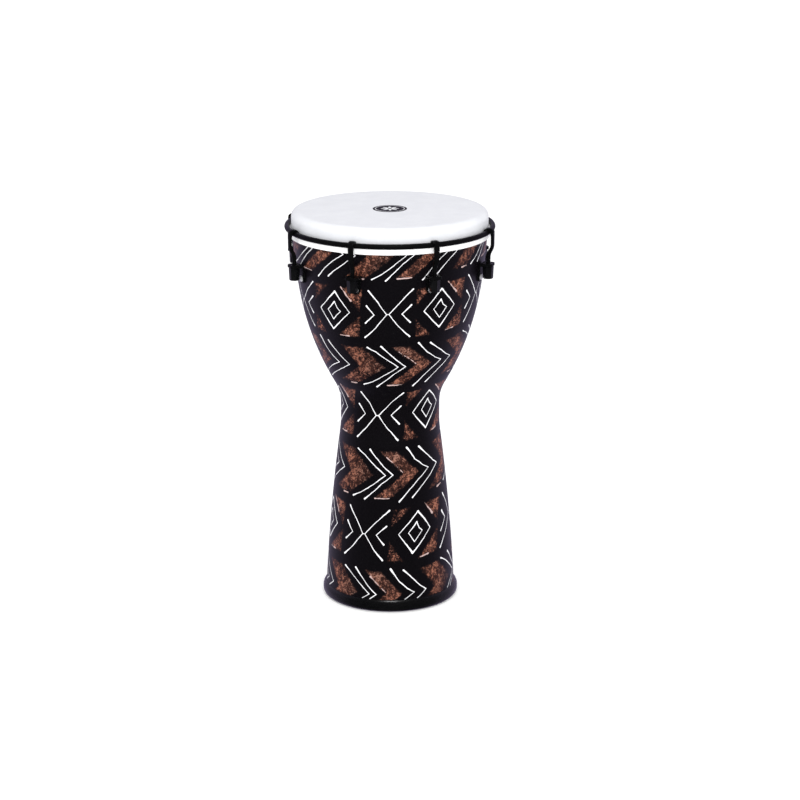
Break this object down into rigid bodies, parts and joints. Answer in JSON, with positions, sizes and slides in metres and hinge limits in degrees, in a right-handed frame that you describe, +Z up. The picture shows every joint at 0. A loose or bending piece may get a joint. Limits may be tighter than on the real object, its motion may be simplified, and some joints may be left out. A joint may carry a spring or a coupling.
{
  "type": "djembe",
  "caption": "Goblet hand drum with a one-piece printed shell, synthetic head, steel tension ring, hook and nut tuners on brackets, and a rubber foot ring.",
  "frame": {"origin": "centre of the rubber foot ring's underside, on the shell's axis, on the floor that the drum stands on", "axes": "+Z up along the shell's axis towards the head; -Y is the front, midway between two lugs; +X to the right"},
  "size_m": [0.3184, 0.3184, 0.61],
  "materials": {
    "printed_shell": "satin, printed",
    "head_film": "matte coated polyester film",
    "hoop_white": "white lacquer",
    "badge": "printed vinyl",
    "black_steel": "black powder coat",
    "nut_steel": "black powder coat, satin",
    "bolt_steel": "bright nickel plate",
    "inner_steel": "zinc plated",
    "gasket_rubber": "matte",
    "foot_rubber": "satin moulded rubber"
  },
  "bodies": {
    "drum_body": {"shell": "printed_shell", "foot_ring": "foot_rubber", "lug_bracket_1": "black_steel", "lug_gasket_1": "gasket_rubber", "backing_plate_1": "inner_steel", "lug_bracket_2": "black_steel", "lug_gasket_2": "gasket_rubber", "backing_plate_2": "inner_steel", "lug_bracket_3": "black_steel", "lug_gasket_3": "gasket_rubber", "backing_plate_3": "inner_steel", "lug_bracket_4": "black_steel", "lug_gasket_4": "gasket_rubber", "backing_plate_4": "inner_steel", "lug_bracket_5": "black_steel", "lug_gasket_5": "gasket_rubber", "backing_plate_5": "inner_steel", "lug_bracket_6": "black_steel", "lug_gasket_6": "gasket_rubber", "backing_plate_6": "inner_steel", "lug_bracket_7": "black_steel", "lug_gasket_7": "gasket_rubber", "backing_plate_7": "inner_steel", "lug_bracket_8": "black_steel", "lug_gasket_8": "gasket_rubber", "backing_plate_8": "inner_steel", "bracket_bolts": "bolt_steel", "bolt_nuts": "inner_steel"},
    "head_assembly": {"drum_head": "head_film", "head_badge": "badge", "flesh_hoop": "hoop_white", "tension_ring": "black_steel", "tuning_hook_1": "black_steel", "tuning_hook_2": "black_steel", "tuning_hook_3": "black_steel", "tuning_hook_4": "black_steel", "tuning_hook_5": "black_steel", "tuning_hook_6": "black_steel", "tuning_hook_7": "black_steel", "tuning_hook_8": "black_steel"},
    "tuning_nut_1": {"tuning_nut_1": "nut_steel"},
    "tuning_nut_2": {"tuning_nut_2": "nut_steel"},
    "tuning_nut_3": {"tuning_nut_3": "nut_steel"},
    "tuning_nut_4": {"tuning_nut_4": "nut_steel"},
    "tuning_nut_5": {"tuning_nut_5": "nut_steel"},
    "tuning_nut_6": {"tuning_nut_6": "nut_steel"},
    "tuning_nut_7": {"tuning_nut_7": "nut_steel"},
    "tuning_nut_8": {"tuning_nut_8": "nut_steel"}
  },
  "joints": [
    {"name": "head_lift", "type": "slide", "parent": "drum_body", "child": "head_assembly", "axis": [0, 0, 1], "range_m": [0, 0.008]},
    {"name": "tuning_nut_1_turn", "type": "hinge", "parent": "drum_body", "child": "tuning_nut_1", "pos_m": [0.05989, -0.14459, 0.523], "axis": [0, 0, -1], "range_deg": [0, 2880]},
    {"name": "tuning_nut_2_turn", "type": "hinge", "parent": "drum_body", "child": "tuning_nut_2", "pos_m": [0.14459, -0.05989, 0.523], "axis": [0, 0, -1], "range_deg": [0, 2880]},
    {"name": "tuning_nut_3_turn", "type": "hinge", "parent": "drum_body", "child": "tuning_nut_3", "pos_m": [0.14459, 0.05989, 0.523], "axis": [0, 0, -1], "range_deg": [0, 2880]},
    {"name": "tuning_nut_4_turn", "type": "hinge", "parent": "drum_body", "child": "tuning_nut_4", "pos_m": [0.05989, 0.14459, 0.523], "axis": [0, 0, -1], "range_deg": [0, 2880]},
    {"name": "tuning_nut_5_turn", "type": "hinge", "parent": "drum_body", "child": "tuning_nut_5", "pos_m": [-0.05989, 0.14459, 0.523], "axis": [0, 0, -1], "range_deg": [0, 2880]},
    {"name": "tuning_nut_6_turn", "type": "hinge", "parent": "drum_body", "child": "tuning_nut_6", "pos_m": [-0.14459, 0.05989, 0.523], "axis": [0, 0, -1], "range_deg": [0, 2880]},
    {"name": "tuning_nut_7_turn", "type": "hinge", "parent": "drum_body", "child": "tuning_nut_7", "pos_m": [-0.14459, -0.05989, 0.523], "axis": [0, 0, -1], "range_deg": [0, 2880]},
    {"name": "tuning_nut_8_turn", "type": "hinge", "parent": "drum_body", "child": "tuning_nut_8", "pos_m": [-0.05989, -0.14459, 0.523], "axis": [0, 0, -1], "range_deg": [0, 2880]}
  ],
  "couplings": [
    {"joint": "tuning_nut_1_turn", "follows": "head_lift", "rad_per_m": 6283.2},
    {"joint": "tuning_nut_2_turn", "follows": "head_lift", "rad_per_m": 6283.2},
    {"joint": "tuning_nut_3_turn", "follows": "head_lift", "rad_per_m": 6283.2},
    {"joint": "tuning_nut_4_turn", "follows": "head_lift", "rad_per_m": 6283.2},
    {"joint": "tuning_nut_5_turn", "follows": "head_lift", "rad_per_m": 6283.2},
    {"joint": "tuning_nut_6_turn", "follows": "head_lift", "rad_per_m": 6283.2},
    {"joint": "tuning_nut_7_turn", "follows": "head_lift", "rad_per_m": 6283.2},
    {"joint": "tuning_nut_8_turn", "follows": "head_lift", "rad_per_m": 6283.2}
  ]
}
